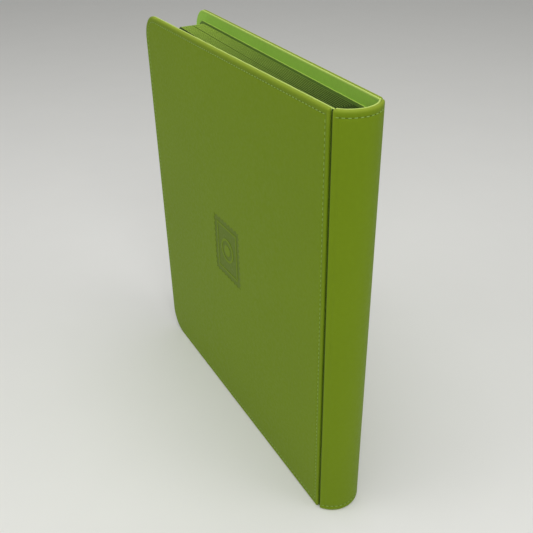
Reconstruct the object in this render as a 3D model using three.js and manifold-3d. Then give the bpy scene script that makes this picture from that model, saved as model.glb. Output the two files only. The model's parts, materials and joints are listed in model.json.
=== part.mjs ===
// Stamp stockbook: padded leatherette covers on a rounded hollow spine, with card leaves
// hung on linen guards from a glued binding block.
//
// Units are millimetres and +Z is up. The book stands on its bottom edges: the spine bulges
// towards +X, the covers reach to -X, and the front cover faces -Y. Both covers stand a little
// ajar. The origin is at the middle of the footprint, on the standing surface.

import * as THREE from 'three';
import { mergeVertices } from 'three/addons/utils/BufferGeometryUtils.js';
import Module from 'manifold-3d';

const wasm = await Module();
wasm.setup();

// Overall sizes
const bookHeight = 320;
const coverWidth = 280.5;        // hinge line to fore edge
const bookThickness = 36.8;      // outer face to outer face at the hinge lines
const spineBulge = 10.8;         // how far the rounded spine stands out past the hinge lines
const ajarAngle = 1.35;          // degrees that each cover stands open

// Layers of a cover and of the spine
const leatherThickness = 0.8;
const paddingThickness = 0.8;
const boardThickness = 1.0;
const liningThickness = 0.6;
const stiffenerThickness = 1.4;
const pastedownThickness = 1.0;
const layerGap = 0.1;

// Outline of a cover
const cornerRadius = 21;
const hingeCornerRadius = 1.6;
const edgeRadius = 1.2;          // rounding of the turned leather edge
const turnedEdge = 2.2;          // width of the turned leather edge round the lining
const panelClearance = 0.3;
const hingeGap = 0.9;            // half the width of the groove at each hinge line
const pastedownInset = 8.6;

// Binding at the gutter
const blockFront = 12;           // hinge line to the face that the guards leave
const blockBack = 1.6;
const jointClothThickness = 0.6;
const jointClothOverlap = 0.3;   // joint cloth reaches past the block's guard face
const pastedownGap = 0.5;        // block's guard face to the pastedown
const blockClearance = 0.2;
const mullThickness = 0.5;

// Leaves
const leafCount = 16;
const leafThickness = 0.8;
const leafInset = 10.2;          // below the cover's top edge, and above its bottom edge
const leafForeMargin = 14.2;     // leaf's fore edge to the cover's
const leafCornerRadius = 10;
const leafGap = 0.47;            // between two leaves at their fore edges
const middleGap = 0.6;           // added between the front half and the back half of the leaves
const foreClearance = 0.7;       // last leaf to the back pastedown, at the fore edge
const rootMargin = 0.8;          // outermost guards to the faces of the block
const guardLength = 12;
const guardThickness = 0.4;
const guardClearance = 0.3;

// Fineness of the rounded outlines
const cornerSegments = 5;
const edgeSegments = 2;
const archSegments = 12;
const weldDistance = 1e-4;
const tightestCorner = 0.2;

// Derived sizes
const ajar = THREE.MathUtils.degToRad(ajarAngle);
const coverLayers = leatherThickness + paddingThickness + boardThickness + liningThickness;
const coverThickness = coverLayers + 3 * layerGap;
const spineWall = leatherThickness + stiffenerThickness + liningThickness + 2 * layerGap;
const paddingFace = leatherThickness + layerGap;
const boardFace = paddingFace + paddingThickness + layerGap;
const liningFace = boardFace + boardThickness + layerGap;
const innerFace = coverThickness + layerGap;
const jointClothReach = blockFront + jointClothOverlap;
const halfThickness = bookThickness / 2;
const halfBlock = halfThickness - innerFace - jointClothThickness - blockClearance;
const spineRadius = (halfThickness ** 2 + spineBulge ** 2) / (2 * spineBulge);
const spineCentre = spineBulge - spineRadius;
const leafFore = coverWidth - leafForeMargin;
const leafBottom = leafInset;
const leafTop = bookHeight - leafInset;

const leatherette = { color: 0x6c8623, roughness: 0.62 };
const lining = { color: 0x759b3c, roughness: 0.85 };
const foam = { color: 0xe6e2d4, roughness: 0.95 };
const greyboard = { color: 0x8f8674, roughness: 0.9 };
const greenCard = { color: 0x5f7f31, roughness: 0.75 };
const linen = { color: 0x7f9a49, roughness: 0.9 };
const mullCloth = { color: 0x5d6b34, roughness: 0.95 };

function namedMesh(name, geometry, finish) {
  const mesh = new THREE.Mesh(geometry, new THREE.MeshStandardMaterial({ ...finish, metalness: 0 }));
  mesh.name = name;
  return mesh;
}

function toSolid(geometry) {
  const bare = geometry.clone();
  bare.deleteAttribute('normal');
  bare.deleteAttribute('uv');
  const merged = mergeVertices(bare, weldDistance);
  return new wasm.Manifold(new wasm.Mesh({
    numProp: 3,
    vertProperties: Float32Array.from(merged.attributes.position.array),
    triVerts: Uint32Array.from(merged.index.array),
  }));
}

function cutAway(body, tool) {
  const { vertProperties, triVerts } = toSolid(body).subtract(toSolid(tool)).getMesh();
  const geometry = new THREE.BufferGeometry();
  geometry.setAttribute('position', new THREE.BufferAttribute(vertProperties, 3));
  geometry.setIndex(new THREE.BufferAttribute(triVerts, 1));
  geometry.computeVertexNormals();
  return geometry;
}

// An upright sheet's outline, seen along Y: rounded at the fore edge, tighter at the gutter.
function sheetOutline(fore, gutter, bottom, top, foreRadius, gutterRadius) {
  const quarter = Math.PI / 2;
  const outline = new THREE.Shape();
  outline.absarc(fore + foreRadius, bottom + foreRadius, foreRadius, 2 * quarter, 3 * quarter);
  outline.absarc(gutter - gutterRadius, bottom + gutterRadius, gutterRadius, 3 * quarter, 4 * quarter);
  outline.absarc(gutter - gutterRadius, top - gutterRadius, gutterRadius, 0, quarter);
  outline.absarc(fore + foreRadius, top - foreRadius, foreRadius, quarter, 2 * quarter);
  return outline;
}

// The cover's outline, moved in by the same inset all round.
function coverOutline(inset) {
  return sheetOutline(-coverWidth + inset, -hingeGap - inset, inset, bookHeight - inset,
    Math.max(cornerRadius - inset, edgeRadius), Math.max(hingeCornerRadius - inset, tightestCorner));
}

// A sheet between two depths. Depth runs inwards from a cover's outer face: towards +Y on the
// front cover (side 1) and towards -Y on the back cover (side -1).
function sheet(outline, outerDepth, innerDepth, side, rounding = 0) {
  const geometry = new THREE.ExtrudeGeometry(outline, {
    depth: innerDepth - outerDepth - 2 * rounding,
    curveSegments: cornerSegments,
    bevelEnabled: rounding > 0,
    bevelThickness: rounding,
    bevelSize: rounding,
    bevelOffset: -rounding,
    bevelSegments: edgeSegments,
  });
  geometry.translate(0, 0, rounding + (side > 0 ? -innerDepth : outerDepth));
  return geometry.rotateX(Math.PI / 2);
}

function cover(name, side) {
  const group = new THREE.Group();
  const shell = sheet(coverOutline(0), 0, coverThickness, side, edgeRadius);
  const pocket = sheet(coverOutline(turnedEdge), leatherThickness, coverThickness + leatherThickness, side);
  const inside = coverOutline(turnedEdge + panelClearance);
  const pastedownCorner = Math.max(cornerRadius - pastedownInset, edgeRadius);
  const pastedown = sheetOutline(-coverWidth + pastedownInset, -blockFront - pastedownGap,
    pastedownInset, bookHeight - pastedownInset, pastedownCorner, edgeRadius);
  const pastedownFace = innerFace + pastedownThickness;
  group.add(
    namedMesh(`${name}_leather`, cutAway(shell, pocket), leatherette),
    namedMesh(`${name}_padding`, sheet(inside, paddingFace, paddingFace + paddingThickness, side), foam),
    namedMesh(`${name}_board`, sheet(inside, boardFace, boardFace + boardThickness, side), greyboard),
    namedMesh(`${name}_lining`, sheet(inside, liningFace, coverThickness, side), lining),
    namedMesh(`${name}_pastedown`, sheet(pastedown, innerFace, pastedownFace, side), greenCard),
  );
  group.position.y = -side * halfThickness;
  group.rotation.z = side * ajar;
  return group;
}

// The rounded spine's section between two radii, ending on a flat at the groove.
function archOutline(outerRadius, innerRadius, startX) {
  const outerAngle = Math.acos((startX - spineCentre) / outerRadius);
  const innerAngle = Math.acos((startX - spineCentre) / innerRadius);
  const outline = new THREE.Shape();
  outline.absarc(spineCentre, 0, outerRadius, -outerAngle, outerAngle);
  outline.absarc(spineCentre, 0, innerRadius, innerAngle, -innerAngle, true);
  return outline;
}

function arch(outerDepth, innerDepth, startX, inset) {
  const outline = archOutline(spineRadius - outerDepth, spineRadius - innerDepth, startX);
  const geometry = new THREE.ExtrudeGeometry(outline, {
    depth: bookHeight - 2 * inset,
    curveSegments: archSegments,
    bevelEnabled: false,
  });
  return geometry.translate(0, 0, inset);
}

function spineShell() {
  const shell = arch(0, spineWall, hingeGap, 0);
  const pocket = arch(leatherThickness, spineWall + leatherThickness, hingeGap + turnedEdge, turnedEdge);
  const panelStart = hingeGap + turnedEdge + panelClearance;
  const panelInset = turnedEdge + panelClearance;
  const stiffenerDepth = leatherThickness + layerGap;
  const liningDepth = stiffenerDepth + stiffenerThickness + layerGap;
  return [
    namedMesh('spine_leather', cutAway(shell, pocket), leatherette),
    namedMesh('spine_stiffener',
      arch(stiffenerDepth, stiffenerDepth + stiffenerThickness, panelStart, panelInset), greyboard),
    namedMesh('spine_lining', arch(liningDepth, spineWall, panelStart, panelInset), lining),
  ];
}

// A plain upright slab from its lowest to its highest corner.
function slab(name, low, high, finish) {
  const size = high.map((value, axis) => value - low[axis]);
  const geometry = new THREE.BoxGeometry(...size);
  const mesh = namedMesh(name, geometry, finish);
  mesh.position.set(...low.map((value, axis) => value + size[axis] / 2));
  return mesh;
}

// Cloth that bridges the groove on the inside, from the spine's edge onto the cover.
function jointCloth(name, side) {
  const outer = -side * (halfThickness - innerFace);
  const inner = -side * (halfThickness - innerFace - jointClothThickness);
  return slab(name,
    [-jointClothReach, Math.min(outer, inner), pastedownInset],
    [hingeGap - panelClearance, Math.max(outer, inner), bookHeight - pastedownInset], linen);
}

function binding() {
  return [
    slab('binding_block', [-blockFront, -halfBlock, leafBottom], [-blockBack, halfBlock, leafTop], linen),
    slab('spine_mull', [-blockBack + layerGap, -halfBlock, leafBottom],
      [-blockBack + layerGap + mullThickness, halfBlock, leafTop], mullCloth),
  ];
}

// Where a leaf's middle plane leaves the block, and where it lies at the fore edge. The last
// leaf lies against the back cover and the others lean after it.
function leafRoot(index) {
  const halfSpread = halfBlock - rootMargin;
  return -halfSpread + 2 * halfSpread * index / (leafCount - 1);
}

function leafForeEdge(index) {
  const backInside = halfThickness + leafFore * Math.tan(ajar)
    - (innerFace + pastedownThickness) / Math.cos(ajar);
  const last = backInside - foreClearance - leafThickness / 2;
  const split = index < leafCount / 2 ? middleGap : 0;
  return last - (leafCount - 1 - index) * (leafThickness + leafGap) - split;
}

function leaf(index) {
  const label = String(index + 1).padStart(2, '0');
  const reach = leafFore - blockFront;
  const outline = sheetOutline(-reach, -guardLength, leafBottom, leafTop, leafCornerRadius, edgeRadius);
  const guard = slab(`guard_${label}`, [-guardLength + guardClearance, -guardThickness / 2, leafBottom],
    [-guardClearance, guardThickness / 2, leafTop], linen);
  const group = new THREE.Group();
  const card = sheet(outline, -leafThickness / 2, leafThickness / 2, 1);
  group.add(guard, namedMesh(`leaf_${label}`, card, greenCard));
  group.position.set(-blockFront, leafRoot(index), 0);
  group.rotation.z = -Math.asin((leafForeEdge(index) - leafRoot(index)) / reach);
  return group;
}

const album = new THREE.Group();
album.add(...spineShell(), ...binding());
album.add(jointCloth('front_joint_cloth', 1), jointCloth('back_joint_cloth', -1));
album.add(cover('front', 1), cover('back', -1));
for (let index = 0; index < leafCount; index += 1) {
  album.add(leaf(index));
}

// The footprint's middle becomes the origin.
const bounds = new THREE.Box3().setFromObject(album, true);
album.position.x = -(bounds.min.x + bounds.max.x) / 2;

export default album;
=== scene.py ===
"""Stamp stockbook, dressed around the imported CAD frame: padded leatherette covers with sewn edges,
a rounded spine, a soft lining with a rolled bead, and card leaves with clear strips on linen guards.

All lengths are in metres. Panels are described in their own flat coordinates: u runs across from
the hinge side, v runs up, and w is the depth below the outer face. A place function then puts
each (u, v, w) into the frame's space.
"""
import json
import math

import bmesh
import bpy
import numpy as np
from mathutils import Matrix, Vector


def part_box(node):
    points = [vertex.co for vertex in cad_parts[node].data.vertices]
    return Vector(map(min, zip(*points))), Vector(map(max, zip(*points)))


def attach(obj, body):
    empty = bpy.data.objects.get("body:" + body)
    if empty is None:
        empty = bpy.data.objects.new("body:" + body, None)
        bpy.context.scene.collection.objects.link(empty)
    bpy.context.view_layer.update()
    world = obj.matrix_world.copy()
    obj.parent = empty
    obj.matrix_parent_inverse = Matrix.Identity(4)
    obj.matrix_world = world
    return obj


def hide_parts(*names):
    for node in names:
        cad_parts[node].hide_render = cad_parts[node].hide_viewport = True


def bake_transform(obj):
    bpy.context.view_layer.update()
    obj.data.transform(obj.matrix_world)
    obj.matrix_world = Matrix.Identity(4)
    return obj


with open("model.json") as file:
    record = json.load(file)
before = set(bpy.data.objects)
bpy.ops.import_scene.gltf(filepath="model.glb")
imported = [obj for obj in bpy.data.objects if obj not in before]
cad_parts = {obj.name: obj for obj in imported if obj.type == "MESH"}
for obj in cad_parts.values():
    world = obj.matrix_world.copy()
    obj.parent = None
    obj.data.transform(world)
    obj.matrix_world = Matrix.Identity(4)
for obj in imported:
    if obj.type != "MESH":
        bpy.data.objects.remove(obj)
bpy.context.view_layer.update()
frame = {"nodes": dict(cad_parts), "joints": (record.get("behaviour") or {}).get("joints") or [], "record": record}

MM = 0.001
SIDES = {"front": 1, "back": -1}

# Sewing
SEAM_INSET = 4.5 * MM
HINGE_SEAM_INSET = 3.2 * MM
SPINE_SEAM_END = 1.5 * MM
STITCH_PITCH = 3.6 * MM
STITCH_LENGTH = 2.4 * MM
THREAD_RADIUS = 0.3 * MM
NEEDLE_HOLE = 0.5 * MM

# Leaves
CARD_HALF = 0.37 * MM
FILM_HALF = 0.398 * MM
FILM_THICKNESS = 0.02 * MM
STRIP_ROWS = 9
STRIP_MARGIN = 7 * MM
STRIP_FILL = 0.84            # share of a row's height that the clear strip covers

# Emblem: a plain perforated stamp pressed into the front cover
EMBLEM_SIZE = (44 * MM, 52 * MM)
EMBLEM_FROM_HINGE = 140 * MM
EMBLEM_DEPTH = 0.2 * MM
PERFORATION_PITCH = 5.2 * MM
PERFORATION_RADIUS = 1.5 * MM

# Camera
VIEW_AZIMUTH = math.radians(62.778)
VIEW_ELEVATION = math.radians(31.735)
VIEW_ROLL = math.radians(-1.144)
FIELD_OF_VIEW = math.radians(40.972)
CAMERA_FROM_GROOVE = Vector((0.31458, -0.20185, 0.45072))


# ---------------------------------------------------------------- facts from the frame

def joint(name):
    return next(j for j in frame["joints"] if j["name"] == name)


def mount(name):
    return next(m for m in frame["record"]["mounts"] if m["name"] == name)


def corners(node):
    return np.array([v.co for v in frame["nodes"][node].data.vertices], float)


HINGE_X = joint("front_cover_open")["pos_m"][0]
HALF_THICKNESS = joint("back_cover_open")["pos_m"][1]
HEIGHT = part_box("spine_leather")[1].z
FACE_NORMAL = mount("front_face")["axis"]
AJAR = math.atan2(FACE_NORMAL[0], -FACE_NORMAL[1])


def cover_place(side):
    """Places a cover's (u, v, w): u from the hinge line to the fore edge, w inwards."""
    def place(u, v, w):
        x = HINGE_X - u * math.cos(AJAR) - w * math.sin(AJAR)
        y = -side * (HALF_THICKNESS + u * math.sin(AJAR) - w * math.cos(AJAR))
        return (x, y, v)
    return place


def cover_flat(node, side):
    """A cover node's own (u, w) for each of its corners."""
    points = corners(node)
    back_x = HINGE_X - points[:, 0]
    out_y = -side * points[:, 1] - HALF_THICKNESS
    u = back_x * math.cos(AJAR) + out_y * math.sin(AJAR)
    w = back_x * math.sin(AJAR) - out_y * math.cos(AJAR)
    return u, w


LEATHER_U = cover_flat("front_leather", 1)[0]
COVER_START, COVER_END = LEATHER_U.min(), LEATHER_U.max()
LINING_FLOOR = cover_flat("front_lining", 1)[1].min()
PASTEDOWN_U, PASTEDOWN_W = cover_flat("front_pastedown", 1)
PASTEDOWN_Z = (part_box("front_pastedown")[0].z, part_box("front_pastedown")[1].z)
CORNER_RADIUS = 21 * MM
HINGE_CORNER = 1.6 * MM

SPINE_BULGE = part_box("spine_leather")[1].x - HINGE_X
SPINE_RADIUS = (HALF_THICKNESS ** 2 + SPINE_BULGE ** 2) / (2 * SPINE_BULGE)
SPINE_CENTRE = HINGE_X + SPINE_BULGE - SPINE_RADIUS
SPINE_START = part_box("spine_leather")[0].x


def spine_angle(depth):
    return math.acos((SPINE_START - SPINE_CENTRE) / (SPINE_RADIUS - depth))


SPINE_WIDTH = 2 * spine_angle(0) * SPINE_RADIUS


def spine_place(u, v, w):
    """Bends a flat panel round the spine: u runs from the front groove to the back groove."""
    angle = (2 * u / SPINE_WIDTH - 1) * spine_angle(w)
    radius = SPINE_RADIUS - w
    return (SPINE_CENTRE + radius * math.cos(angle), radius * math.sin(angle), v)


def upright_place(node):
    """Places (u, v, w) on a thin upright node: u from its spine end, w across its middle plane."""
    points = corners(node)
    slope, offset = np.polyfit(points[:, 0], points[:, 1], 1)
    along = Vector((-1, -slope, 0)).normalized()
    start_x = points[:, 0].max()
    start = Vector((start_x, offset + slope * start_x, 0))
    across = Vector((-along.y, along.x, 0))
    length = (points[:, 0].max() - points[:, 0].min()) / abs(along.x)

    def place(u, v, w):
        point = start + along * u + across * w
        return (point.x, point.y, v)
    return place, length


# ---------------------------------------------------------------- mesh helpers

def make_object(name, vertices, faces, material, smooth_angle=38):
    mesh = bpy.data.meshes.new(name)
    mesh.from_pydata(vertices, [], faces)
    clean = bmesh.new()
    clean.from_mesh(mesh)
    bmesh.ops.remove_doubles(clean, verts=clean.verts, dist=1e-7)
    bmesh.ops.recalc_face_normals(clean, faces=clean.faces)
    clean.to_mesh(mesh)
    clean.free()
    mesh.shade_smooth()
    mesh.set_sharp_from_angle(angle=math.radians(smooth_angle))
    mesh.materials.append(material)
    piece = bpy.data.objects.new(name, mesh)
    bpy.context.scene.collection.objects.link(piece)
    return piece


def outline(size, radii, inset, steps, hinge_share=1.0):
    """A rounded rectangle moved in by inset, or by a share of it on the hinge side. The first
    radius is for the hinge side's corners."""
    width, height = size
    near, far = (max(radius - inset, 0.0) for radius in radii)
    across, up, corner = steps
    low, right, top = inset, width - inset, height - inset
    left = inset * hinge_share
    legs = (
        ((left + near, low), (right - far, low), across, (right - far, low + far), far, -90),
        ((right, low + far), (right, top - far), up, (right - far, top - far), far, 0),
        ((right - far, top), (left + near, top), across, (left + near, top - near), near, 90),
        ((left, top - near), (left, low + near), up, (left + near, low + near), near, 180),
    )
    points = []
    for start, end, count, centre, radius, first_angle in legs:
        for i in range(count):
            t = i / count
            points.append((start[0] + (end[0] - start[0]) * t, start[1] + (end[1] - start[1]) * t))
        for i in range(corner):
            angle = math.radians(first_angle + 90 * i / corner)
            points.append((centre[0] + radius * math.cos(angle), centre[1] + radius * math.sin(angle)))
    return points


def panel_mesh(size, radii, profile, place, steps, origin=(0.0, 0.0), hinge_share=1.0):
    """Vertices and faces of a closed panel. The profile is a list of (inset, depth) rings that
    runs from the middle of the outer face, round the edge, to the middle of the inner face."""
    across, up, _ = steps
    vertices, faces = [], []
    for inset, depth in profile:
        ring = outline(size, radii, inset, steps, hinge_share)
        vertices += [place(origin[0] + u, origin[1] + v, depth) for u, v in ring]
    count = len(ring)
    for k in range(len(profile) - 1):
        for i in range(count):
            j = (i + 1) % count
            faces.append((k * count + i, k * count + j, (k + 1) * count + j, (k + 1) * count + i))
    for inset, depth in (profile[0], profile[-1]):
        first = len(vertices)
        for row in range(up + 1):
            for column in range(across + 1):
                left = inset * hinge_share
                u = left + (size[0] - inset - left) * column / across
                v = inset + (size[1] - 2 * inset) * row / up
                vertices.append(place(origin[0] + u, origin[1] + v, depth))
        for row in range(up):
            for column in range(across):
                a = first + row * (across + 1) + column
                faces.append((a, a + 1, a + across + 2, a + across + 1))
    return vertices, faces


def panel(name, size, radii, profile, place, steps, material, origin=(0.0, 0.0), hinge_share=1.0):
    vertices, faces = panel_mesh(size, radii, profile, place, steps, origin, hinge_share)
    return make_object(name, vertices, faces, material)


def band(name, profile, place, start, width, across, material):
    """A closed strip between two flush ends, with the profile's edge along its top and bottom."""
    loop = list(profile) + [(HEIGHT - inset, depth) for inset, depth in reversed(profile)]
    count = len(loop)
    vertices = [place(start + width * column / across, v, depth)
                for column in range(across + 1) for v, depth in loop]
    faces = [(a + i, a + (i + 1) % count, a + count + (i + 1) % count, a + count + i)
             for a in range(0, across * count, count) for i in range(count)]
    faces += [tuple(range(count)), tuple(range(across * count, (across + 1) * count))]
    return make_object(name, vertices, faces, material)


def second_material(piece, material, chosen):
    """Gives a second material to the faces that chosen says."""
    piece.data.materials.append(material)
    for face in piece.data.polygons:
        if chosen(face):
            face.material_index = 1


def merged(name, parts, material, smooth_angle=38):
    """One object from several (vertices, faces) lists."""
    vertices, faces = [], []
    for part_vertices, part_faces in parts:
        first = len(vertices)
        vertices += part_vertices
        faces += [tuple(first + i for i in face) for face in part_faces]
    return make_object(name, vertices, faces, material, smooth_angle)


def edge_attribute(piece, fade):
    """Stores how near each vertex is to the panel's upper and lower edge, from 1 at it to 0. It places the paler
    rims: partly wear and partly painted highlight on the leatherette, and painted highlight on the lining's bead.
    """
    heights = [min(v.co.z, HEIGHT - v.co.z) for v in piece.data.vertices]
    rim = piece.data.attributes.new("rim", "FLOAT", "POINT")
    rim.data.foreach_set("value", [max(0.0, 1 - height / fade) for height in heights])


def gutter_attribute(piece, place, length):
    """Stores how near each vertex is to the gutter, from 0 at the fore edge to 1, for the painted shade there."""
    near, far = (Vector(place(u, 0, 0)).xy for u in (0.0, length))
    span = near - far
    gutter = piece.data.attributes.new("gutter", "FLOAT", "POINT")
    shares = [(v.co.xy - far).dot(span) / span.length_squared for v in piece.data.vertices]
    gutter.data.foreach_set("value", [min(max(share, 0.0), 1.0) for share in shares])


def slim_profile(half, rounding, reach):
    """A thin sheet with softly rounded edges, centred on depth 0."""
    outer = [(reach, -half), (rounding, -half), (rounding * 0.3, -half * 0.7), (0.0, -half * 0.25)]
    return outer + [(inset, -depth) for inset, depth in reversed(outer)]


# ---------------------------------------------------------------- materials

class Shader:
    """A short way to write a material's nodes."""

    def __init__(self, name, color, roughness):
        self.material = bpy.data.materials.new(name)
        self.material.use_nodes = True
        self.tree = self.material.node_tree
        self.surface = self.tree.nodes["Principled BSDF"]
        self.surface.inputs["Base Color"].default_value = (*color, 1)
        self.surface.inputs["Roughness"].default_value = roughness
        self.color = color
        self.where = self.add("ShaderNodeTexCoord").outputs["Object"]

    def add(self, kind, **values):
        node = self.tree.nodes.new(kind)
        for key, value in values.items():
            setattr(node, key, value)
        return node

    def link(self, output, socket):
        self.tree.links.new(output, socket)

    def noise(self, scale, detail=3.0, stretch=(1, 1, 1)):
        mapping = self.add("ShaderNodeMapping")
        mapping.inputs["Scale"].default_value = stretch
        self.link(self.where, mapping.inputs["Vector"])
        texture = self.add("ShaderNodeTexNoise")
        texture.inputs["Scale"].default_value = scale
        texture.inputs["Detail"].default_value = detail
        self.link(mapping.outputs["Vector"], texture.inputs["Vector"])
        return texture.outputs["Fac"]

    def cells(self, scale, smooth=0.4):
        texture = self.add("ShaderNodeTexVoronoi", feature="SMOOTH_F1")
        texture.inputs["Scale"].default_value = scale
        texture.inputs["Smoothness"].default_value = smooth
        self.link(self.where, texture.inputs["Vector"])
        return texture.outputs["Distance"]

    def bands(self, scale, axis, distortion=0.6):
        texture = self.add("ShaderNodeTexWave", wave_type="BANDS", bands_direction=axis)
        texture.inputs["Scale"].default_value = scale
        texture.inputs["Distortion"].default_value = distortion
        texture.inputs["Detail Scale"].default_value = 2.0
        self.link(self.where, texture.inputs["Vector"])
        return texture.outputs["Fac"]

    def spread(self, factor, low, high, from_low=0.3, from_high=0.7):
        """Maps a factor onto a range of values."""
        node = self.add("ShaderNodeMapRange")
        limits = {"From Min": from_low, "From Max": from_high, "To Min": low, "To Max": high}
        for socket, value in limits.items():
            node.inputs[socket].default_value = value
        self.link(factor, node.inputs["Value"])
        return node.outputs["Result"]

    def math(self, operation, first, second):
        node = self.add("ShaderNodeMath", operation=operation)
        for socket, value in zip(node.inputs, (first, second)):
            if isinstance(value, float):
                socket.default_value = value
            else:
                self.link(value, socket)
        return node.outputs["Value"]

    def tint(self, base, factor, color):
        """Mixes a colour in where the factor is high. base is an output, or None for the plain colour."""
        node = self.add("ShaderNodeMix", data_type="RGBA")
        if base is None:
            node.inputs["A"].default_value = (*self.color, 1)
        else:
            self.link(base, node.inputs["A"])
        node.inputs["B"].default_value = (*color, 1)
        self.link(factor, node.inputs["Factor"])
        return node.outputs["Result"]

    def attribute(self, name):
        return self.add("ShaderNodeAttribute", attribute_name=name).outputs["Fac"]

    def paint(self, output):
        self.link(output, self.surface.inputs["Base Color"])

    def roughen(self, output):
        self.link(output, self.surface.inputs["Roughness"])

    def bump(self, height, strength, distance, base=None):
        node = self.add("ShaderNodeBump")
        node.inputs["Strength"].default_value = strength
        node.inputs["Distance"].default_value = distance
        self.link(height, node.inputs["Height"])
        if base is not None:
            self.link(base, node.inputs["Normal"])
        self.link(node.outputs["Normal"], self.surface.inputs["Normal"])
        return node.outputs["Normal"]

    def set(self, **values):
        for key, value in values.items():
            self.surface.inputs[key.replace("_", " ")].default_value = value


def shade(color, factor):
    return tuple(min(channel * factor, 1.0) for channel in color)


def leatherette(name, color, rim_wear_and_highlight, roughness):
    shader = Shader(name, color, roughness)
    blotches = shader.spread(shader.noise(9, 4), 0.0, 0.5)
    tinted = shader.tint(None, blotches, shade(color, 0.9))
    mottling = shader.spread(shader.noise(300, 3), 0.0, 0.22)
    tinted = shader.tint(tinted, mottling, shade(color, 1.14))
    # Painted highlight and wear: the top and bottom rims turn paler, partly as wear on the rolled fold and partly
    # standing in for light catching it.
    shader.paint(shader.tint(tinted, shader.math("MULTIPLY", shader.attribute("rim"), 0.6), rim_wear_and_highlight))
    shader.roughen(shader.spread(shader.noise(420, 2), roughness - 0.06, roughness + 0.08))
    grain = shader.bump(shader.cells(1150), 0.2, 0.00012)
    shader.bump(shader.noise(520, 4), 0.08, 0.0002, grain)
    shader.set(Specular_IOR_Level=0.12)
    return shader.material


def soft_lining(name, color, bead_highlight):
    shader = Shader(name, color, 0.82)
    nap = shader.spread(shader.noise(38, 5, (1, 1, 0.35)), 0.0, 0.55)
    tinted = shader.tint(None, nap, shade(color, 0.86))
    fibres = shader.spread(shader.noise(1500, 2, (1, 1, 0.3)), 0.0, 0.4)
    tinted = shader.tint(tinted, fibres, shade(color, 1.18))
    # Painted highlight: the rolled bead turns paler, standing in for light on the lining's edge.
    shader.paint(shader.tint(tinted, shader.attribute("rim"), bead_highlight))
    shader.roughen(shader.spread(shader.noise(300, 2), 0.72, 0.9))
    shader.bump(shader.noise(1900, 3, (1, 1, 0.4)), 0.3, 0.00015)
    shader.set(Sheen_Weight=0.08, Sheen_Roughness=0.4, Specular_IOR_Level=0.15)
    return shader.material


def card(name, color, gutter_shade=None):
    """Card, which may take a painted shade that darkens it towards the gutter."""
    shader = Shader(name, color, 0.7)
    fibres = shader.spread(shader.noise(900, 5, (0.25, 0.25, 1)), 0.0, 0.5)
    tinted = shader.tint(None, fibres, shade(color, 0.82))
    clouds = shader.spread(shader.noise(24, 4), 0.0, 0.4)
    tinted = shader.tint(tinted, clouds, shade(color, 1.14))
    if gutter_shade:
        # Painted shade: darker towards the gutter, where the spine and covers shade the leaves.
        tinted = shader.tint(tinted, shader.attribute("gutter"), gutter_shade)
    shader.paint(tinted)
    shader.roughen(shader.spread(shader.noise(200, 3), 0.62, 0.8))
    shader.bump(shader.noise(2100, 4), 0.2, 0.0001)
    shader.set(Specular_IOR_Level=0.2)
    return shader.material


def woven(name, color, threads, roughness=0.88):
    shader = Shader(name, color, roughness)
    weave = shader.math("ADD", shader.bands(threads, "X"), shader.bands(threads, "Z"))
    shader.paint(shader.tint(None, shader.spread(weave, 0.0, 0.55, 0.4, 1.4), shade(color, 0.72)))
    shader.roughen(shader.spread(shader.noise(600, 3), roughness - 0.08, roughness + 0.08))
    shader.bump(weave, 0.5, 0.00012)
    shader.set(Specular_IOR_Level=0.15)
    return shader.material


def sewing_thread(name, color):
    shader = Shader(name, color, 0.6)
    twist = shader.bands(1300, "DIAGONAL", 0.2)
    shader.paint(shader.tint(None, shader.spread(twist, 0.0, 0.6), shade(color, 0.7)))
    shader.roughen(shader.spread(shader.noise(900, 2), 0.5, 0.7))
    shader.bump(twist, 0.5, 0.0001)
    return shader.material


def grainy(name, color, scale, roughness, depth=0.00015, speck=0.78):
    shader = Shader(name, color, roughness)
    specks = shader.spread(shader.noise(scale, 5), 0.0, 0.6)
    shader.paint(shader.tint(None, specks, shade(color, speck)))
    shader.roughen(shader.spread(shader.noise(scale * 0.5, 2), roughness - 0.06, roughness + 0.06))
    shader.bump(shader.noise(scale * 2, 3), 0.3, depth)
    return shader.material


def clear_film(name):
    shader = Shader(name, (0.93, 0.96, 0.92), 0.12)
    shader.roughen(shader.spread(shader.noise(70, 3), 0.06, 0.2))
    shader.paint(shader.tint(None, shader.spread(shader.noise(40, 2), 0.0, 0.3), (0.8, 0.88, 0.78)))
    shader.bump(shader.noise(28, 2), 0.12, 0.0004)
    shader.set(Alpha=0.09, IOR=1.49)
    return shader.material


def linear(red, green, blue):
    """A display colour, 0 to 255, as linear light."""
    values = (channel / 255 for channel in (red, green, blue))
    return tuple(v / 12.92 if v <= 0.04045 else ((v + 0.055) / 1.055) ** 2.4 for v in values)


# Leatherette: the second colour is the paler rim, partly wear and partly painted highlight.
LEATHER = leatherette("olive_leatherette", linear(107, 131, 14), linear(150, 166, 58), 0.55)
PRESSED = leatherette("pressed_leatherette", linear(92, 113, 24), linear(92, 113, 24), 0.5)
# Painted shadow: a dark leatherette that stands for the shade in the groove's slit.
GROOVE_SHADOW = leatherette("groove_leatherette", linear(46, 60, 12), linear(46, 60, 12), 0.7)
# Painted shade: a dark colour for the shadow inside the needle holes.
HOLE_SHADE = grainy("needle_hole", linear(28, 38, 10), 900, 0.9)
# Lining: the third colour is a painted highlight on the rolled bead.
LINING = soft_lining("green_lining", linear(148, 193, 70), linear(190, 208, 112))
CARD = card("green_card", linear(72, 98, 38))
# Cut leaf edges: paler partly for the card's core and partly as painted highlight on the top edges, with painted
# shade towards the gutter.
CARD_EDGE_LIT_AND_SHADED = card("cut_card_edge", linear(160, 192, 70), linear(78, 100, 34))
PASTEDOWN = card("green_endpaper", linear(92, 122, 46))
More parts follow.
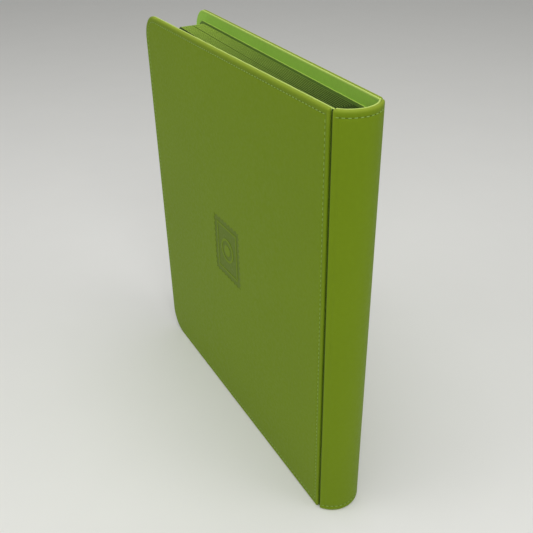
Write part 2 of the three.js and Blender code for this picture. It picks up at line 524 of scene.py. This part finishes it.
# Endpaper edges: paler partly for the card's core and partly as painted highlight on the lit top edge.
PASTEDOWN_EDGE_HIGHLIGHT = card("cut_endpaper_edge", linear(172, 200, 84))
LINEN = woven("green_linen", linear(70, 92, 36), 300)
MULL = woven("green_mull", linear(93, 107, 52), 170)
THREAD = sewing_thread("green_thread", linear(136, 168, 72))
FILM = clear_film("clear_film")
FOAM = grainy("white_foam", linear(232, 228, 214), 1200, 0.92)
GREYBOARD = grainy("greyboard", linear(146, 138, 120), 700, 0.88)


# ---------------------------------------------------------------- covers and spine

def skin_profile(reach):
    """Leatherette over foam: flat face, sewn valley, rolled edge, turn-in and the pocket behind."""
    face = [(reach, 0), (8.5, 0), (6.5, 0.02), (5.6, 0.10), (5.0, 0.26), (4.5, 0.36), (4.0, 0.26),
            (3.4, 0.10), (2.6, 0.04), (1.9, 0.06), (1.2, 0.17), (0.7, 0.38), (0.32, 0.70),
            (0.08, 1.10), (0.0, 1.45), (0.06, 1.80), (0.28, 2.08), (0.7, 2.20), (1.4, 2.22)]
    behind = [(2.3, 2.22), (2.36, 2.10), (2.36, 0.86), (reach, 0.86)]
    return [(inset * MM, depth * MM) for inset, depth in face + behind]


# Lining in millimetres: the depth of a strip's hidden side, and the bead's (inset, depth) points
SPINE_LINING_FLOOR = 2.42
GROOVE_LINING_FLOOR = 2.36
# The paler rim is a painted highlight on the rolled bead.
LINING_EDGE = 1.6 * MM       # how far the paler rim fades down and up from the lining's ends
LINING_BEAD = [(0.62, 2.36), (0.28, 2.56), (0.12, 2.84), (0.14, 3.12), (0.36, 3.38), (0.8, 3.52),
               (1.3, 3.52), (2.0, 3.46), (3.2, 3.5)]


def lining_profile(reach, floor):
    """Soft lining with a rolled bead along its edge, from the hidden side to the inner face."""
    hidden = [(reach, floor), (2.46, floor), (2.46, 2.30), (1.2, 2.30)]
    return [(inset * MM, depth * MM) for inset, depth in hidden + LINING_BEAD + [(reach, 3.5)]]


def band_profile(floor):
    """The same bead on a strip, whose hidden side is flat at the floor's depth."""
    return [(inset * MM, depth * MM) for inset, depth in [(0.9, floor)] + LINING_BEAD]


def line_path(points):
    """A path through flat (u, v) points: returns its length and a function of distance."""
    steps = [math.dist(a, b) for a, b in zip(points, points[1:])]
    total = sum(steps)

    def at(distance):
        left = min(max(distance, 0.0), total)
        for (a, b), step in zip(zip(points, points[1:]), steps):
            if left <= step or (a, b) == (points[-2], points[-1]):
                t = left / step
                along = ((b[0] - a[0]) / step, (b[1] - a[1]) / step)
                return (a[0] + (b[0] - a[0]) * t, a[1] + (b[1] - a[1]) * t), along
            left -= step
    return total, at


STITCH_SHAPE = ((0.0, 0.35, -0.55), (0.12, 0.8, -0.1), (0.3, 1.0, 0.25), (0.5, 1.0, 0.4),
                (0.7, 1.0, 0.25), (0.88, 0.8, -0.1), (1.0, 0.35, -0.55))


def stitches(path, surface, place):
    """Thread stitches and needle holes along a flat path. Surface is the depth of the sewn valley."""
    total, at = line_path(path)
    count = max(int(total / STITCH_PITCH), 1)
    pitch = total / count
    threads, holes = [], []
    sides = 6
    for index in range(count):
        start = index * pitch + (pitch - STITCH_LENGTH) / 2
        vertices, faces = [], []
        for share, fat, lift in STITCH_SHAPE:
            (u, v), (along_u, along_v) = at(start + share * STITCH_LENGTH)
            radius = THREAD_RADIUS * fat
            for side in range(sides):
                angle = 2 * math.pi * side / sides
                off = radius * math.cos(angle)
                depth = surface - THREAD_RADIUS * lift - radius * math.sin(angle)
                vertices.append(place(u - along_v * off, v + along_u * off, depth))
        rings = len(STITCH_SHAPE)
        for ring in range(rings - 1):
            for side in range(sides):
                a, b = ring * sides + side, ring * sides + (side + 1) % sides
                faces.append((a, b, b + sides, a + sides))
        faces.append(tuple(range(sides)))
        faces.append(tuple(range((rings - 1) * sides, rings * sides)))
        threads.append((vertices, faces))
        for share in (-0.05, 1.05):
            (u, v), _ = at(start + share * STITCH_LENGTH)
            holes.append(needle_hole(u, v, surface, place))
    return threads, holes


def needle_hole(u, v, surface, place):
    """Painted shade of the needle's hole: a dark shallow lens that just shows above the valley."""
    sides = 8
    vertices = [place(u, v, surface - 0.035 * MM), place(u, v, surface + 0.2 * MM)]
    for side in range(sides):
        angle = 2 * math.pi * side / sides
        vertices.append(place(u + NEEDLE_HOLE * math.cos(angle), v + NEEDLE_HOLE * math.sin(angle),
                              surface - 0.015 * MM))
    faces = []
    for side in range(sides):
        a, b = 2 + side, 2 + (side + 1) % sides
        faces += [(0, a, b), (1, b, a)]
    return vertices, faces


def rounded_run(size, radii, inset, steps, origin):
    """The seam round a cover: along the top, the fore edge and the bottom."""
    points = outline(size, radii, inset, steps, HINGE_SEAM_INSET / SEAM_INSET)
    across, up, corner = steps
    end = 2 * across + up + 2 * corner
    return [(u + origin[0], v + origin[1]) for u, v in points[:end + 1]]


COVER_SIZE = (COVER_END - COVER_START, HEIGHT)
COVER_RADII = (HINGE_CORNER, CORNER_RADIUS)
COVER_STEPS = (24, 26, 12)
COVER_REACH = 24
SPINE_SIZE = (SPINE_WIDTH, HEIGHT)
SPINE_RADII = (HINGE_CORNER, HINGE_CORNER)
SPINE_STEPS = (40, 26, 5)
SPINE_REACH = 10
OUTER_SEAM_DEPTH = 0.36 * MM
LINING_HINGE_SHARE = 0.02     # the lining runs on over the hinge, so it has no bead there


def emblem_curve():
    """A perforated stamp with a frame line and a round cancel mark, as a flat filled curve."""
    curve = bpy.data.curves.new("emblem", "CURVE")
    curve.dimensions = "2D"
    curve.fill_mode = "BOTH"
    width, height = EMBLEM_SIZE

    def add(points):
        spline = curve.splines.new("POLY")
        spline.points.add(len(points) - 1)
        for target, (x, y) in zip(spline.points, points):
            target.co = (x, y, 0, 1)
        spline.use_cyclic_u = True

    def scallops(length):
        count = round(length / PERFORATION_PITCH)
        pitch = length / count
        for index in range(count):
            centre = (index + 0.5) * pitch
            for step in range(9):
                angle = math.pi * (1 - step / 8)
                yield centre + PERFORATION_RADIUS * math.cos(angle), PERFORATION_RADIUS * math.sin(angle)

    edge = [(-width / 2 + along, -height / 2 + into) for along, into in scallops(width)]
    edge += [(width / 2 - into, -height / 2 + along) for along, into in scallops(height)]
    edge += [(width / 2 - along, height / 2 - into) for along, into in scallops(width)]
    edge += [(-width / 2 + into, height / 2 - along) for along, into in scallops(height)]
    add(edge)
    for inset in (5.2 * MM, 6.6 * MM):
        x, y = width / 2 - inset, height / 2 - inset
        add([(-x, -y), (x, -y), (x, y), (-x, y)])
    for radius in (10.5 * MM, 8.6 * MM, 5.0 * MM):
        add([(radius * math.cos(a), radius * math.sin(a)) for a in np.linspace(0, 2 * math.pi, 49)[:-1]])
    return curve


def emblem_cutter(place):
    curve = emblem_curve()
    curve.extrude = EMBLEM_DEPTH
    flat = bpy.data.objects.new("emblem_flat", curve)
    bpy.context.scene.collection.objects.link(flat)
    bpy.context.view_layer.update()
    mesh = bpy.data.meshes.new_from_object(flat.evaluated_get(bpy.context.evaluated_depsgraph_get()))
    bpy.data.objects.remove(flat)
    for vertex in mesh.vertices:
        x, y, z = vertex.co
        vertex.co = place(EMBLEM_FROM_HINGE - x, HEIGHT / 2 + y, -z)
    clean = bmesh.new()
    clean.from_mesh(mesh)
    bmesh.ops.remove_doubles(clean, verts=clean.verts, dist=1e-6)
    bmesh.ops.recalc_face_normals(clean, faces=clean.faces)
    clean.to_mesh(mesh)
    clean.free()
    mesh.materials.clear()
    mesh.materials.append(PRESSED)
    cutter = bpy.data.objects.new("emblem_cutter", mesh)
    bpy.context.scene.collection.objects.link(cutter)
    return cutter


def press_emblem(skin, place):
    """Presses the emblem into the leatherette, with a darker floor."""
    cutter = emblem_cutter(place)
    press = skin.modifiers.new("press", "BOOLEAN")
    press.operation = "DIFFERENCE"
    press.solver = "EXACT"
    press.material_mode = "TRANSFER"
    press.object = cutter
    bpy.context.view_layer.update()
    pressed = skin.evaluated_get(bpy.context.evaluated_depsgraph_get())
    mesh = bpy.data.meshes.new_from_object(pressed)
    skin.modifiers.clear()
    skin.data = mesh
    mesh.set_sharp_from_angle(angle=math.radians(38))
    bpy.data.objects.remove(cutter)


def sewing(name, runs, place, body):
    """A panel's stitches, and the needle holes between them."""
    threads, holes = [], []
    for path in runs:
        some_threads, some_holes = stitches(path, OUTER_SEAM_DEPTH, place)
        threads += some_threads
        holes += some_holes
    thread = merged(f"{name}_stitching", threads, THREAD, 60)
    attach(thread, body)
    pits = merged(f"{name}_needle_holes", holes, HOLE_SHADE, 60)
    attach(pits, body)


def build_cover(name):
    side = SIDES[name]
    body = f"{name}_cover"
    place = cover_place(side)
    origin = (COVER_START, 0.0)
    skin = panel(f"{name}_cover_skin", COVER_SIZE, COVER_RADII, skin_profile(COVER_REACH), place,
                 COVER_STEPS, LEATHER, origin, HINGE_SEAM_INSET / SEAM_INSET)
    if name == "front":
        press_emblem(skin, place)
    edge_attribute(skin, 2.2 * MM)
    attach(skin, body)
    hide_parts(f"{name}_leather")

    inside = panel(f"{name}_cover_lining", COVER_SIZE, COVER_RADII,
                   lining_profile(COVER_REACH, LINING_FLOOR / MM), place, COVER_STEPS, LINING, origin,
                   LINING_HINGE_SHARE)
    edge_attribute(inside, LINING_EDGE)
    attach(inside, body)
    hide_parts(f"{name}_lining")

    runs = [
        rounded_run(COVER_SIZE, COVER_RADII, SEAM_INSET, COVER_STEPS, origin),
        [(COVER_START + HINGE_SEAM_INSET, SEAM_INSET + 2 * MM),
         (COVER_START + HINGE_SEAM_INSET, HEIGHT - SEAM_INSET - 2 * MM)],
    ]
    sewing(name, runs, place, body)
    build_pastedown(name, place, body)


def build_pastedown(name, place, body):
    size = (PASTEDOWN_U.max() - PASTEDOWN_U.min(), PASTEDOWN_Z[1] - PASTEDOWN_Z[0])
    outer, inner = PASTEDOWN_W.min(), PASTEDOWN_W.max()
    radius = CORNER_RADIUS - (COVER_END - PASTEDOWN_U.max())
    round_in = 0.35 * MM
    profile = [(16 * MM, outer), (round_in, outer), (0, outer + round_in), (0, inner - round_in),
               (0.1 * MM, inner - 0.1 * MM), (round_in, inner), (16 * MM, inner)]
    sheet = panel(f"{name}_endpaper", size, (1.2 * MM, radius), profile, place, (12, 14, 8), PASTEDOWN,
                  (PASTEDOWN_U.min(), PASTEDOWN_Z[0]))
    # The edges get the paler card: partly the card's core, partly painted highlight.
    second_material(sheet, PASTEDOWN_EDGE_HIGHLIGHT, lambda face: abs(face.normal.y) < 0.8)
    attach(sheet, body)
    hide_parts(f"{name}_pastedown")


def build_spine():
    skin = panel("spine_skin", SPINE_SIZE, SPINE_RADII, skin_profile(SPINE_REACH), spine_place,
                 SPINE_STEPS, LEATHER)
    edge_attribute(skin, 2.2 * MM)
    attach(skin, "spine")
    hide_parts("spine_leather")
    inside = band("spine_inner_lining", band_profile(SPINE_LINING_FLOOR), spine_place,
                  0.0, SPINE_WIDTH, 40, LINING)
    edge_attribute(inside, LINING_EDGE)
    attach(inside, "spine")
    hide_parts("spine_lining")
    first, last = SPINE_SEAM_END, SPINE_WIDTH - SPINE_SEAM_END
    count = 24
    runs = [[(first + (last - first) * i / count, v) for i in range(count + 1)]
            for v in (HEIGHT - SEAM_INSET, SEAM_INSET)]
    sewing("spine", runs, spine_place, "spine")


def build_groove(name):
    """The lining bridges the groove between the cover and the spine."""
    side = SIDES[name]
    place = cover_place(side)
    strip = band(f"{name}_groove_lining", band_profile(GROOVE_LINING_FLOOR), place,
                 -COVER_START, 2 * COVER_START, 10, LINING)
    # Painted shadow: the strip's outward faces get the dark groove leatherette.
    second_material(strip, GROOVE_SHADOW, lambda face: face.normal.y * -side > 0.9)
    edge_attribute(strip, LINING_EDGE)
    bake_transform(strip)


# ---------------------------------------------------------------- binding and leaves

def build_cloth(name, node, material):
    """A glued strip of cloth in the place of a thin upright CAD slab."""
    low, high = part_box(node)
    size = high - low
    thin = 0 if size.x < size.y else 1
    wide = 1 - thin
    half = size[thin] / 2 - 0.02 * MM

    def place(u, v, w):
        point = [0.0, 0.0, v]
        point[wide] = low[wide] + u
        point[thin] = (low[thin] + high[thin]) / 2 + w
        return tuple(point)
    cloth = panel(name, (size[wide], size.z), (0.6 * MM, 0.6 * MM), slim_profile(half, 0.2 * MM, 2 * MM),
                  place, (6, 40, 2), material, (0.0, low.z))
    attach(cloth, "spine")
    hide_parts(node)


def build_block(leaf_names):
    """The binding block: one folded guard end for each leaf, packed side by side."""
    low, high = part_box("binding_block")
    pitch = (high.y - low.y) / len(leaf_names)
    half = pitch / 2 - 0.03 * MM
    parts = []
    for index in range(len(leaf_names)):
        middle = low.y + (index + 0.5) * pitch

        def place(u, v, w, middle=middle):
            return (high.x - u, middle + w, v)
        profile = [(2.4 * MM, -half), (0.9 * MM, -half), (0.35 * MM, -half * 0.82),
                   (0.08 * MM, -half * 0.5), (0.0, 0.0)]
        profile += [(inset, -depth) for inset, depth in reversed(profile[:-1])]
        parts.append(panel_mesh((high.x - low.x, high.z - low.z), (0.5 * MM, 0.5 * MM), profile, place,
                                (3, 8, 2), (0.0, low.z)))
    block = merged("sewn_guard_block", parts, LINEN)
    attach(block, "spine")
    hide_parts("binding_block")


def film_strip(place, low_u, high_u, low_v, high_v, side):
    """One clear strip: fixed along its foot and standing a hair off the card along its mouth."""
    foot, mouth = FILM_HALF - FILM_THICKNESS, FILM_HALF
    lift = 0.012 * MM
    vertices = []
    for v, depth in ((low_v, foot - lift), (high_v, foot)):
        for u in (low_u, high_u):
            vertices += [place(u, v, side * depth), place(u, v, side * (depth + mouth - foot))]
    faces = [(0, 1, 3, 2), (4, 6, 7, 5), (0, 4, 5, 1), (2, 3, 7, 6), (0, 2, 6, 4), (1, 5, 7, 3)]
    return vertices, faces


def build_leaf(label):
    body = f"leaf_{label}_body"
    node = f"leaf_{label}"
    low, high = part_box(node)
    place, length = upright_place(node)
    size = (length, high.z - low.z)
    sheet = panel(f"page_{label}", size, (1.2 * MM, 10 * MM), slim_profile(CARD_HALF, 0.18 * MM, 12 * MM),
                  place, (10, 12, 6), CARD, (0.0, low.z))
    gutter_attribute(sheet, place, length)
    # The edges get the pale edge card: partly painted highlight, with painted shade towards the gutter.
    second_material(sheet, CARD_EDGE_LIT_AND_SHADED, lambda face: abs(face.normal.y) < 0.8)
    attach(sheet, body)
    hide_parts(node)

    row_height = (size[1] - STRIP_MARGIN) / STRIP_ROWS
    strips = []
    for row in range(STRIP_ROWS):
        foot = low.z + STRIP_MARGIN / 2 + row * row_height
        for side in (1, -1):
            strips.append(film_strip(place, STRIP_MARGIN, length - STRIP_MARGIN, foot,
                                     foot + row_height * STRIP_FILL, side))
    film = merged(f"page_strips_{label}", strips, FILM)
    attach(film, body)
    build_guard(label)


def build_guard(label):
    """The linen guard between the block and its leaf."""
    node = f"guard_{label}"
    low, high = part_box(node)
    place, length = upright_place(node)
    reach = 0.24 * MM        # past the CAD guard at each end, over most of the 0.3 mm gap there
    size = (length + 2 * reach, high.z - low.z)
    profile = slim_profile(0.17 * MM, 0.12 * MM, 1.2 * MM)
    guard = panel(f"linen_guard_{label}", size, (0.5 * MM, 0.5 * MM), profile,
                  place, (12, 10, 2), LINEN, (-reach, low.z))
    start = Vector(place(-reach, 0, 0))
    end = Vector(place(length + reach, 0, 0))
    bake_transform(guard)
    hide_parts(node)


def dress_inner_nodes():
    """The sealed layers keep their CAD shape and get their own finish."""
    finishes = {"_padding": FOAM, "_board": GREYBOARD, "_stiffener": GREYBOARD}
    for node, piece in frame["nodes"].items():
        for ending, material in finishes.items():
            if node.endswith(ending):
                piece.data.materials.clear()
                piece.data.materials.append(material)


# ---------------------------------------------------------------- studio

def area_light(name, place, aim, size, power, color=(1, 1, 1)):
    data = bpy.data.lights.new(name, "AREA")
    data.shape = "DISK"
    data.size = size
    data.energy = power
    data.color = color
    light = bpy.data.objects.new(name, data)
    light.location = place
    light.rotation_euler = (Vector(aim) - Vector(place)).to_track_quat("-Z", "Y").to_euler()
    bpy.context.scene.collection.objects.link(light)


def build_studio():
    size = 6.0
    floor_material = grainy("pale_floor", linear(226, 226, 222), 14, 0.8, 0.0001, 0.98)
    vertices = [(x * size, y * size, 0) for x, y in ((-1, -1), (1, -1), (1, 1), (-1, 1))]
    floor = make_object("floor", vertices, [(0, 1, 2, 3)], floor_material)
    world = bpy.data.worlds.new("studio")
    world.use_nodes = True
    background = world.node_tree.nodes["Background"]
    background.inputs["Color"].default_value = (1, 1, 1, 1)
    background.inputs["Strength"].default_value = 0.36
    bpy.context.scene.world = world
    middle = (0, 0, HEIGHT / 2)
    area_light("overhead", (0.15, -0.1, 1.6), middle, 1.4, 11)
    area_light("key", (1.5, -0.5, 1.1), middle, 1.2, 10)
    area_light("edge", (1.2, 1.0, 0.9), middle, 1.0, 4)
    area_light("fill", (-0.5, -1.8, 0.9), middle, 1.4, 8.5)


def build_camera():
    data = bpy.data.cameras.new("camera")
    data.sensor_width = 36
    data.lens = data.sensor_width / (2 * math.tan(FIELD_OF_VIEW / 2))
    data.clip_start = 0.01
    camera = bpy.data.objects.new("camera", data)
    azimuth, elevation = VIEW_AZIMUTH, VIEW_ELEVATION
    back = Vector((math.sin(azimuth) * math.cos(elevation), -math.cos(azimuth) * math.cos(elevation),
                   math.sin(elevation)))
    right = Vector((math.cos(azimuth), math.sin(azimuth), 0))
    up = back.cross(right)
    rolled_right = right * math.cos(VIEW_ROLL) + up * math.sin(VIEW_ROLL)
    rolled_up = up * math.cos(VIEW_ROLL) - right * math.sin(VIEW_ROLL)
    axes = Matrix((rolled_right, rolled_up, back)).transposed().to_4x4()
    groove_foot = Vector((HINGE_X, -HALF_THICKNESS, 0))
    camera.matrix_world = Matrix.Translation(groove_foot + CAMERA_FROM_GROOVE) @ axes
    bpy.context.scene.collection.objects.link(camera)
    bpy.context.scene.camera = camera


bpy.context.scene.view_settings.view_transform = "Standard"
build_studio()
build_camera()
dress_inner_nodes()
for cover_name in SIDES:
    build_cover(cover_name)
    build_groove(cover_name)
build_spine()
leaf_labels = sorted(node[-2:] for node in frame["nodes"] if node.startswith("leaf_"))
build_block(leaf_labels)
build_cloth("block_mull", "spine_mull", MULL)
for cover_name in SIDES:
    build_cloth(f"{cover_name}_joint_linen", f"{cover_name}_joint_cloth", LINEN)
for leaf_label in leaf_labels:
    build_leaf(leaf_label)
